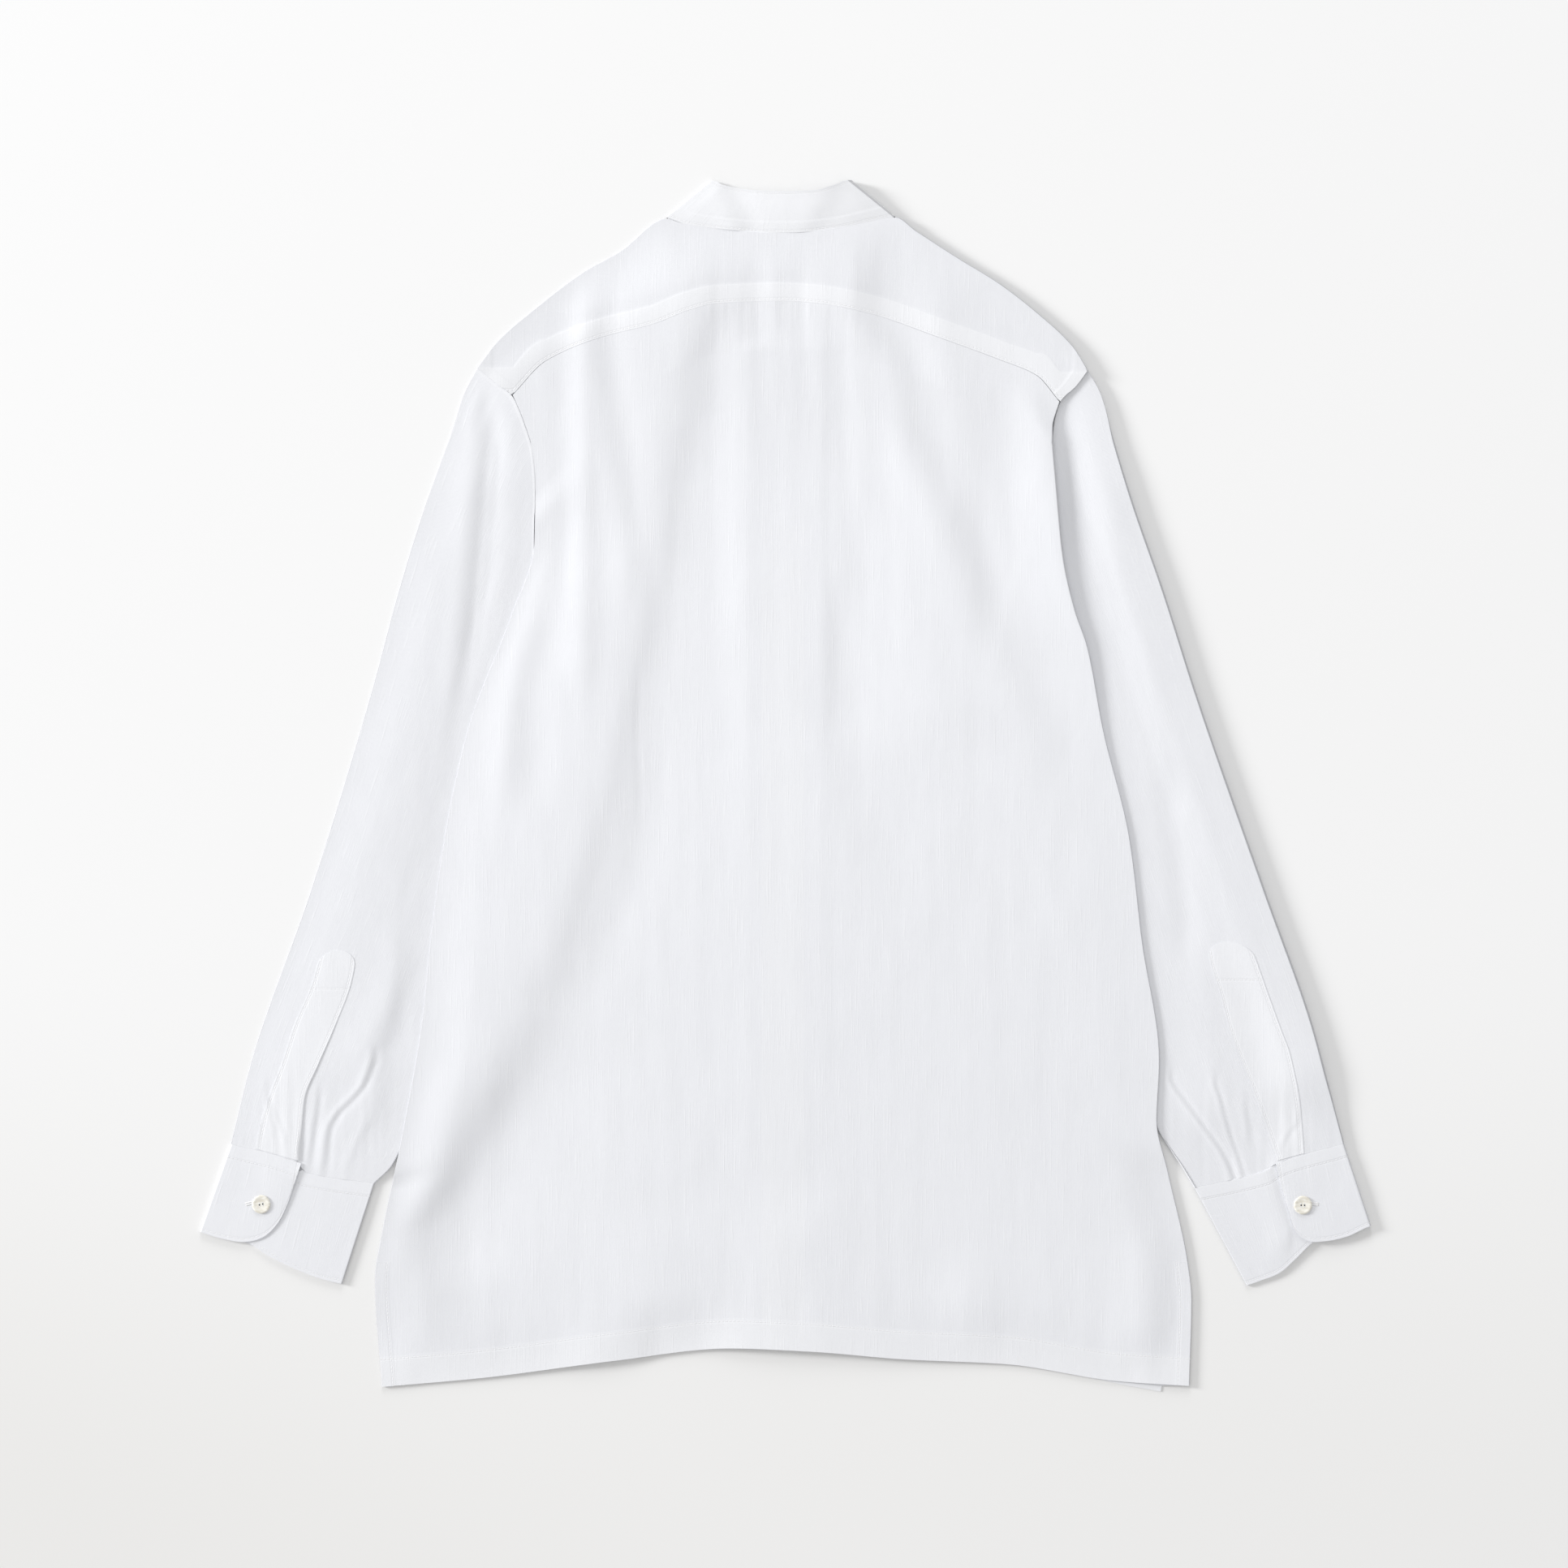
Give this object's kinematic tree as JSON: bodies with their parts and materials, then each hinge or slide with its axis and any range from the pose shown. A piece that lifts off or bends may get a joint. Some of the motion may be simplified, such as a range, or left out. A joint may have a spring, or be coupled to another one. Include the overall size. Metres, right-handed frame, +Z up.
{
  "type": "mandarin collar shirt",
  "caption": "White linen long-sleeve shirt with a stand collar, back yoke, side vents and buttoned cuffs, laid flat with its back up.",
  "frame": {"origin": "on the floor, at the middle of the bottom of the shirt's box", "axes": "+Z up from the floor through the back of the shirt, +Y from the hem to the collar, +X towards the wearer's right sleeve"},
  "size_m": [0.7929, 0.8203, 0.0076],
  "materials": {
    "linen": "white plain-weave linen with fine slubs, slightly sheer",
    "shell_button": "cream, pearly"
  },
  "bodies": {
    "root": {"back": "linen", "yoke": "linen", "front_left": "linen", "front_right": "linen", "collar": "linen", "sleeve_left": "linen", "sleeve_right": "linen", "sleeve_placket_left": "linen", "sleeve_placket_right": "linen", "cuff_left": "linen", "cuff_right": "linen", "cuff_button_left": "shell_button", "cuff_button_right": "shell_button", "front_button_1": "shell_button", "front_button_2": "shell_button", "front_button_3": "shell_button", "front_button_4": "shell_button", "front_button_5": "shell_button", "front_button_6": "shell_button"}
  },
  "joints": []
}
